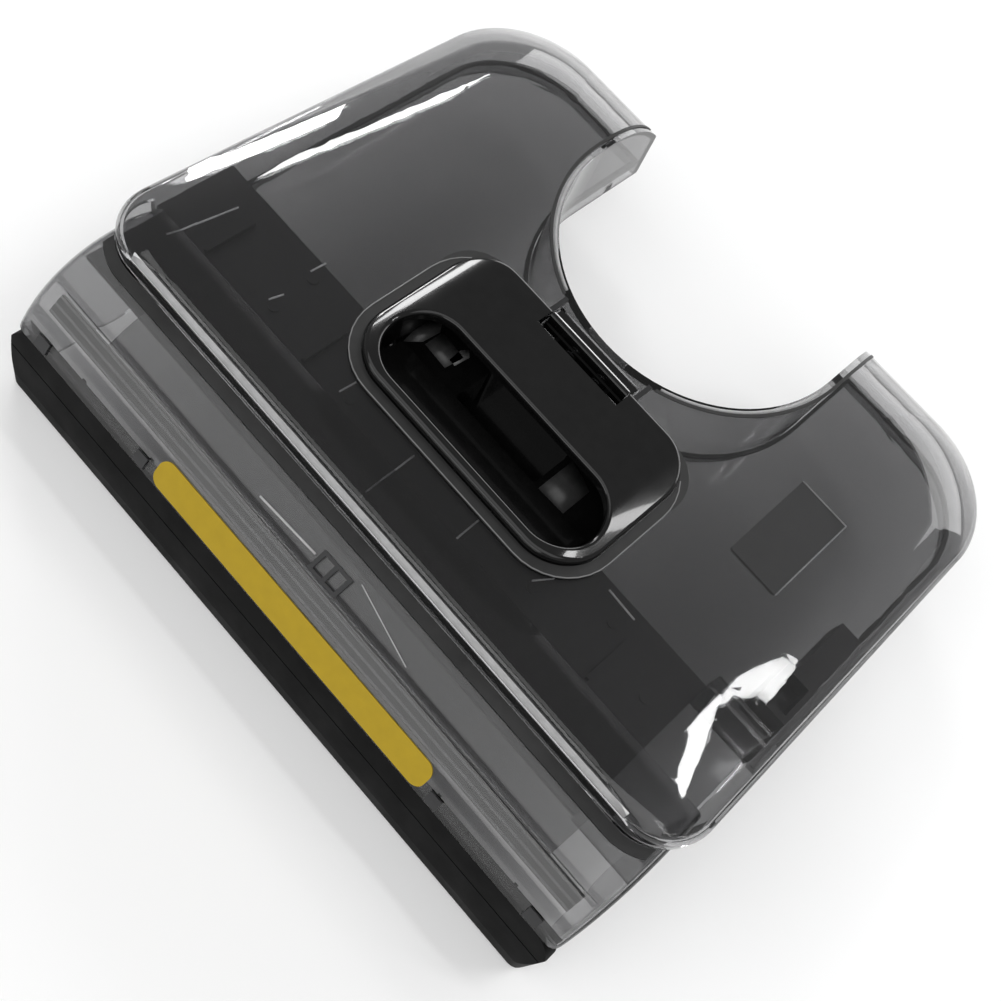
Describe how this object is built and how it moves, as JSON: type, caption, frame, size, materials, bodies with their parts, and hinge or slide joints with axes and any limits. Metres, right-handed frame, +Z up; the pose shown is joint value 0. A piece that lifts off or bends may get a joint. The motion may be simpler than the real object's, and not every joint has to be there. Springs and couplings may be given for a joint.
{
  "type": "floor washer head cover",
  "caption": "See-through removable head cover of a wet and dry floor washer, with roller hood, rubber bumper, grip recess, spring latch and rear neck notch.",
  "frame": {"origin": "middle of the bounding box at the height of the bumper's lower edge", "axes": "+X to the right across the cover, +Y to the rear, towards the machine's neck, +Z up"},
  "size_m": [0.292, 0.2604, 0.08],
  "materials": {
    "smoked_window": "smoked clear polycarbonate, polished",
    "smoked_hood": "smoked clear polycarbonate, polished",
    "smoked_floor": "dark smoked polycarbonate",
    "seal_rubber": "soft black seal",
    "soft_pad": "soft grey pad",
    "black_plastic": "satin black moulding",
    "baffle_plastic": "satin black moulding",
    "yellow_strip": "yellow inlay",
    "bumper_rubber": "black bumper rubber",
    "gloss_black": "piano black",
    "screw_steel": "zinc plated",
    "spring_steel": "spring steel"
  },
  "bodies": {
    "cover": {"window_shell": "smoked_window", "duct_floor": "smoked_floor", "duct_seal": "seal_rubber", "floor_pad": "soft_pad", "side_bracket": "black_plastic", "locating_lug_left": "black_plastic", "locating_lug_right": "black_plastic", "brush_baffle": "baffle_plastic", "end_tray": "smoked_floor", "heat_stakes": "baffle_plastic", "brush_hood": "smoked_hood", "hood_seal": "seal_rubber", "accent_strip": "yellow_strip", "centre_clip": "black_plastic", "bumper_clips": "black_plastic", "roller_scraper": "seal_rubber", "hood_liner": "smoked_floor", "bumper_rail": "black_plastic", "front_bumper": "bumper_rubber", "handle_bezel": "gloss_black", "handle_cup": "gloss_black", "bezel_gasket": "seal_rubber", "latch_housing": "black_plastic", "housing_screws": "screw_steel", "bezel_screws": "screw_steel", "latch_springs": "spring_steel", "latch_guides": "black_plastic", "notch_trim": "seal_rubber"},
    "latch": {"release_latch": "gloss_black"}
  },
  "joints": [
    {"name": "latch_slide", "type": "slide", "parent": "cover", "child": "latch", "axis": [0, -1, 0], "range_m": [0, 0.0045], "stiffness_N_per_m": 600, "springref_m": -0.003, "deforming": ["latch_springs"]}
  ]
}
